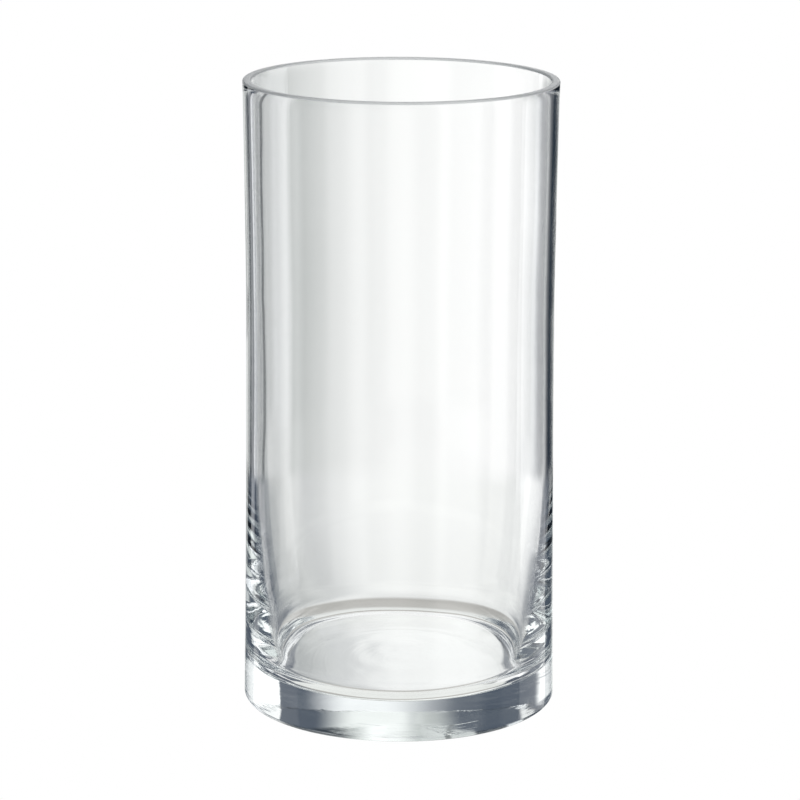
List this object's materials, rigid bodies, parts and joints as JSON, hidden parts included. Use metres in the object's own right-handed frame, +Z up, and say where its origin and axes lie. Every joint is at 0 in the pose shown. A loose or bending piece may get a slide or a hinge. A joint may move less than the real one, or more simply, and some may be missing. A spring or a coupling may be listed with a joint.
{
  "type": "glass cylinder vase",
  "caption": "Tall straight-sided cylinder vase of clear glass with a ground rim, slightly waisted wall and a heavy flat base.",
  "frame": {"origin": "centre of the foot, on the surface the vase stands on", "axes": "+Z up along the vase's axis of revolution"},
  "size_m": [0.15, 0.15, 0.3],
  "materials": {
    "clear_glass": "clear colourless soda-lime glass with a faint grey-green tint, fire-polished walls, ground and polished rim"
  },
  "bodies": {
    "root": {"glass_vessel": "clear_glass"}
  },
  "joints": []
}
